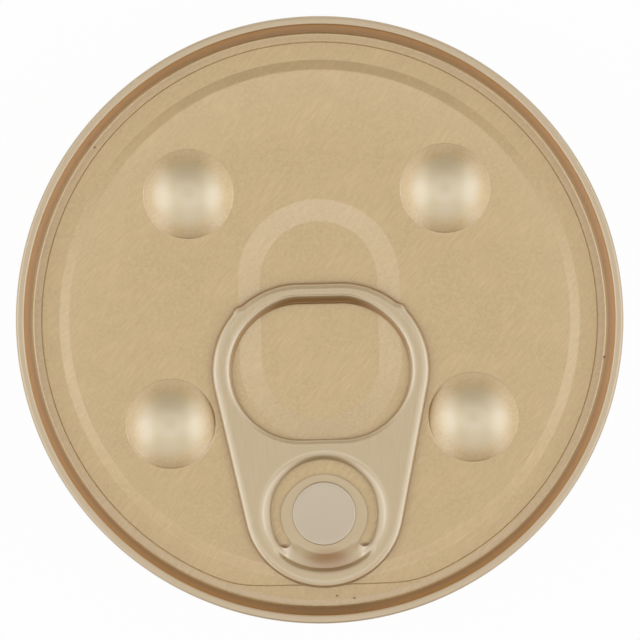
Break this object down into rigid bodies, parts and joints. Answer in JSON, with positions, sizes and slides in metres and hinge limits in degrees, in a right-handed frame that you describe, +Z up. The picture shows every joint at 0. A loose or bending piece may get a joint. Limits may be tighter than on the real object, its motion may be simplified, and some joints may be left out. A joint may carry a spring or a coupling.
{
  "type": "sealed food can with ring-pull end",
  "caption": "Small sealed round food can in gold lacquer, with a double-seamed full-opening end, four raised domes, a finger well and a riveted ring-pull tab.",
  "frame": {"origin": "centre of the foot ring, on the surface that the can stands on", "axes": "+Z up along the can's axis; -Y towards the tab's nose and rivet, +Y towards the middle of the end from the rivet"},
  "size_m": [0.0683, 0.0682, 0.0365],
  "materials": {
    "body_lacquer": "satin gold lacquer on drawn sheet",
    "end_lacquer": "satin gold lacquer with fine rolling grain",
    "tab_metal": "pale champagne, brushed lengthwise"
  },
  "bodies": {
    "root": {"can_body": "body_lacquer", "can_end": "end_lacquer", "ring_tab": "tab_metal"}
  },
  "joints": []
}
